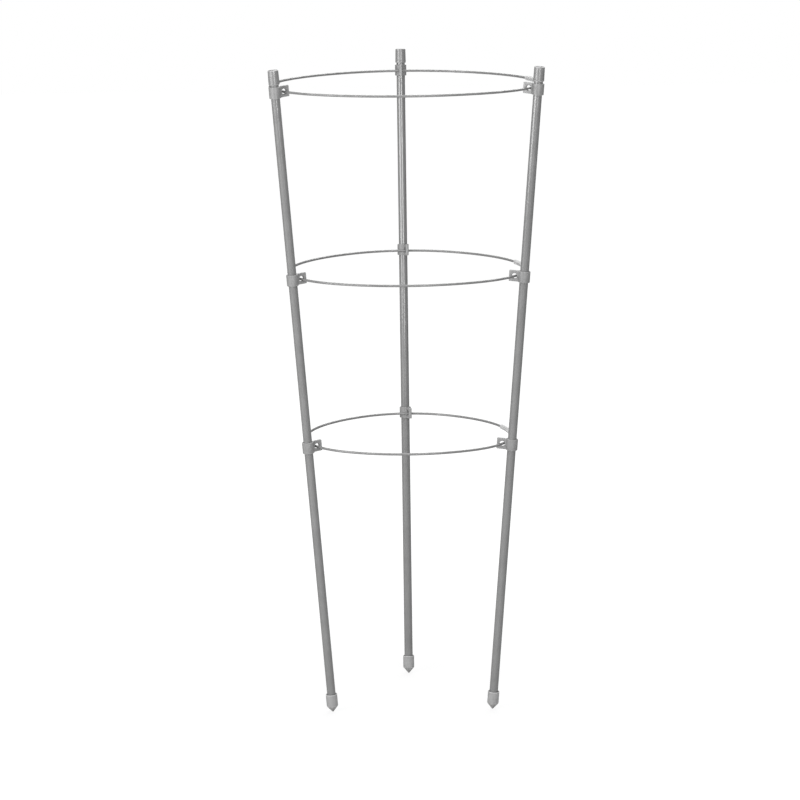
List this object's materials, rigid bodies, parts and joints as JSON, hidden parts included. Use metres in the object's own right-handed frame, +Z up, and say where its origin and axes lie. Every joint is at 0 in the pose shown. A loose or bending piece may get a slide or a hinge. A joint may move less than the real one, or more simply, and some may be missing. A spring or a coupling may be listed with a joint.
{
  "type": "tomato cage",
  "caption": "Splayed plant cage: coated steel stakes with caps and pointed feet, joined by wire rings threaded through clips that slide on the stakes, for tomatoes and climbers.",
  "frame": {"origin": "on the ground plane through the three tips, at the middle of the cage", "axes": "+Z up along the cage's centre line; +Y towards the back stake; +X towards the right stake's side"},
  "size_m": [0.2506, 0.2655, 0.6081],
  "materials": {
    "steel_tube": "drawn thin-walled steel tube, bare inside its coat",
    "stake_coat": "grey extruded polyethylene coat, satin, with faint lengthwise lines",
    "cap_plastic": "grey moulded polyethylene, satin",
    "foot_plastic": "grey moulded polyethylene, satin",
    "clip_plastic": "grey moulded polypropylene, fine matt grain",
    "ring_wire": "steel wire in a thin grey plastic coat, satin gloss",
    "sleeve_pvc": "milky clear soft PVC tube"
  },
  "bodies": {
    "stakes": {"left_stake_tube": "steel_tube", "left_stake_coat": "stake_coat", "left_top_cap": "cap_plastic", "left_foot": "foot_plastic", "right_stake_tube": "steel_tube", "right_stake_coat": "stake_coat", "right_top_cap": "cap_plastic", "right_foot": "foot_plastic", "back_stake_tube": "steel_tube", "back_stake_coat": "stake_coat", "back_top_cap": "cap_plastic", "back_foot": "foot_plastic"},
    "top_ring": {"top_ring": "ring_wire"},
    "top_left_clip": {"top_left_clip": "clip_plastic"},
    "top_right_clip": {"top_right_clip": "clip_plastic"},
    "top_back_clip": {"top_back_clip": "clip_plastic"},
    "top_ring_sleeve": {"top_ring_sleeve": "sleeve_pvc"},
    "middle_ring": {"middle_ring": "ring_wire"},
    "middle_left_clip": {"middle_left_clip": "clip_plastic"},
    "middle_right_clip": {"middle_right_clip": "clip_plastic"},
    "middle_back_clip": {"middle_back_clip": "clip_plastic"},
    "middle_ring_sleeve": {"middle_ring_sleeve": "sleeve_pvc"},
    "lower_ring": {"lower_ring": "ring_wire"},
    "lower_left_clip": {"lower_left_clip": "clip_plastic"},
    "lower_right_clip": {"lower_right_clip": "clip_plastic"},
    "lower_back_clip": {"lower_back_clip": "clip_plastic"},
    "lower_ring_sleeve": {"lower_ring_sleeve": "sleeve_pvc"}
  },
  "joints": [
    {"name": "top_ring_height", "type": "slide", "parent": "stakes", "child": "top_ring", "axis": [0, 0, 1], "range_m": [-0.018, 0]},
    {"name": "top_left_clip_slide", "type": "slide", "parent": "stakes", "child": "top_left_clip", "axis": [-0.0739, -0.0427, 0.9964], "range_m": [-0.01811, 0]},
    {"name": "top_right_clip_slide", "type": "slide", "parent": "stakes", "child": "top_right_clip", "axis": [0.0739, -0.0427, 0.9964], "range_m": [-0.01811, 0]},
    {"name": "top_back_clip_slide", "type": "slide", "parent": "stakes", "child": "top_back_clip", "axis": [0, 0.0854, 0.9964], "range_m": [-0.01811, 0]},
    {"name": "top_ring_sleeve_slip", "type": "hinge", "parent": "top_ring", "child": "top_ring_sleeve", "pos_m": [-0.02262, -0.01306, 0.58761], "axis": [0, 0, 1], "range_deg": [-5.5, 5.5]},
    {"name": "middle_ring_height", "type": "slide", "parent": "stakes", "child": "middle_ring", "axis": [0, 0, 1], "range_m": [-0.0095, 0]},
    {"name": "middle_left_clip_slide", "type": "slide", "parent": "stakes", "child": "middle_left_clip", "axis": [-0.0739, -0.0427, 0.9964], "range_m": [-0.00956, 0]},
    {"name": "middle_right_clip_slide", "type": "slide", "parent": "stakes", "child": "middle_right_clip", "axis": [0.0739, -0.0427, 0.9964], "range_m": [-0.00956, 0]},
    {"name": "middle_back_clip_slide", "type": "slide", "parent": "stakes", "child": "middle_back_clip", "axis": [0, 0.0854, 0.9964], "range_m": [-0.00956, 0]},
    {"name": "middle_ring_sleeve_slip", "type": "hinge", "parent": "middle_ring", "child": "middle_ring_sleeve", "pos_m": [-0.02262, -0.01306, 0.41511], "axis": [0, 0, 1], "range_deg": [-6.1, 6.1]},
    {"name": "lower_ring_height", "type": "slide", "parent": "stakes", "child": "lower_ring", "axis": [0, 0, 1], "range_m": [-0.008, 0]},
    {"name": "lower_left_clip_slide", "type": "slide", "parent": "stakes", "child": "lower_left_clip", "axis": [-0.0739, -0.0427, 0.9964], "range_m": [-0.00805, 0]},
    {"name": "lower_right_clip_slide", "type": "slide", "parent": "stakes", "child": "lower_right_clip", "axis": [0.0739, -0.0427, 0.9964], "range_m": [-0.00805, 0]},
    {"name": "lower_back_clip_slide", "type": "slide", "parent": "stakes", "child": "lower_back_clip", "axis": [0, 0.0854, 0.9964], "range_m": [-0.00805, 0]},
    {"name": "lower_ring_sleeve_slip", "type": "hinge", "parent": "lower_ring", "child": "lower_ring_sleeve", "pos_m": [-0.02262, -0.01306, 0.25711], "axis": [0, 0, 1], "range_deg": [-6.8, 6.8]}
  ],
  "couplings": [
    {"joint": "top_left_clip_slide", "follows": "top_ring_height", "ratio": 1.0037},
    {"joint": "top_right_clip_slide", "follows": "top_ring_height", "ratio": 1.0037},
    {"joint": "top_back_clip_slide", "follows": "top_ring_height", "ratio": 1.0037},
    {"joint": "middle_left_clip_slide", "follows": "middle_ring_height", "ratio": 1.0037},
    {"joint": "middle_right_clip_slide", "follows": "middle_ring_height", "ratio": 1.0037},
    {"joint": "middle_back_clip_slide", "follows": "middle_ring_height", "ratio": 1.0037},
    {"joint": "lower_left_clip_slide", "follows": "lower_ring_height", "ratio": 1.0037},
    {"joint": "lower_right_clip_slide", "follows": "lower_ring_height", "ratio": 1.0037},
    {"joint": "lower_back_clip_slide", "follows": "lower_ring_height", "ratio": 1.0037}
  ]
}
